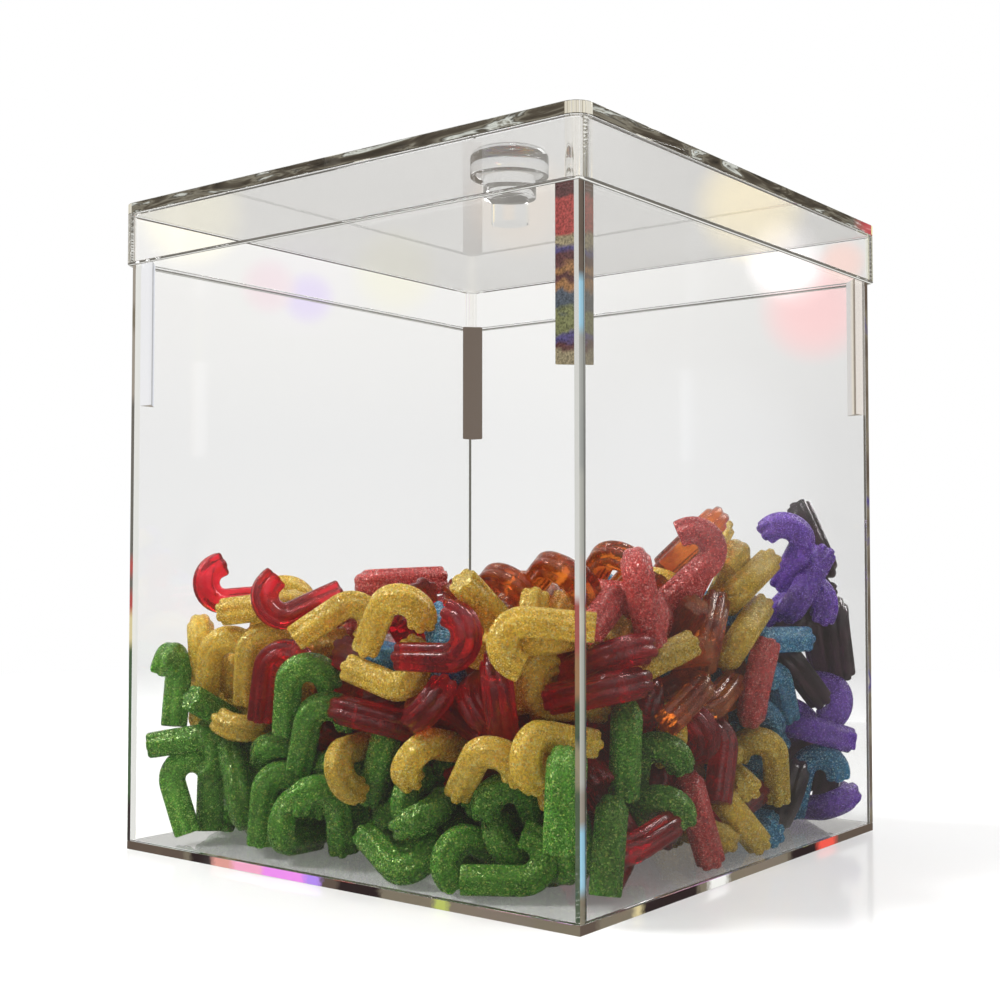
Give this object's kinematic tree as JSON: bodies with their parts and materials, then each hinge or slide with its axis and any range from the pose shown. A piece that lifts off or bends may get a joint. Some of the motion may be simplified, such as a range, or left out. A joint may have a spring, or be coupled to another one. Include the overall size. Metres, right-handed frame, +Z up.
{
  "type": "candy bin",
  "caption": "Square clear acrylic candy bin with corner gussets, a lift-off lid with a turned knob, and a heap of curved gummies.",
  "frame": {"origin": "centre of the square footprint, on the underside of the floor panel", "axes": "+Z up towards the lid's knob, -Y towards the front wall"},
  "size_m": [0.206, 0.206, 0.2641],
  "materials": {
    "clear_acrylic": "clear and polished",
    "lid_acrylic": "clear and polished",
    "gummies": "sugar glitter and gloss"
  },
  "bodies": {
    "bin": {"floor_panel": "clear_acrylic", "front_wall": "clear_acrylic", "rear_wall": "clear_acrylic", "left_wall": "clear_acrylic", "right_wall": "clear_acrylic", "gusset_front_left": "clear_acrylic", "gusset_front_right": "clear_acrylic", "gusset_rear_left": "clear_acrylic", "gusset_rear_right": "clear_acrylic", "candy_heap": "gummies"},
    "lid": {"lid_skirt": "lid_acrylic", "lid_plate": "lid_acrylic", "lid_knob": "lid_acrylic"}
  },
  "joints": [
    {"name": "lid_lift", "type": "slide", "parent": "bin", "child": "lid", "axis": [0, 0, 1], "range_m": [0, 0.12]}
  ]
}
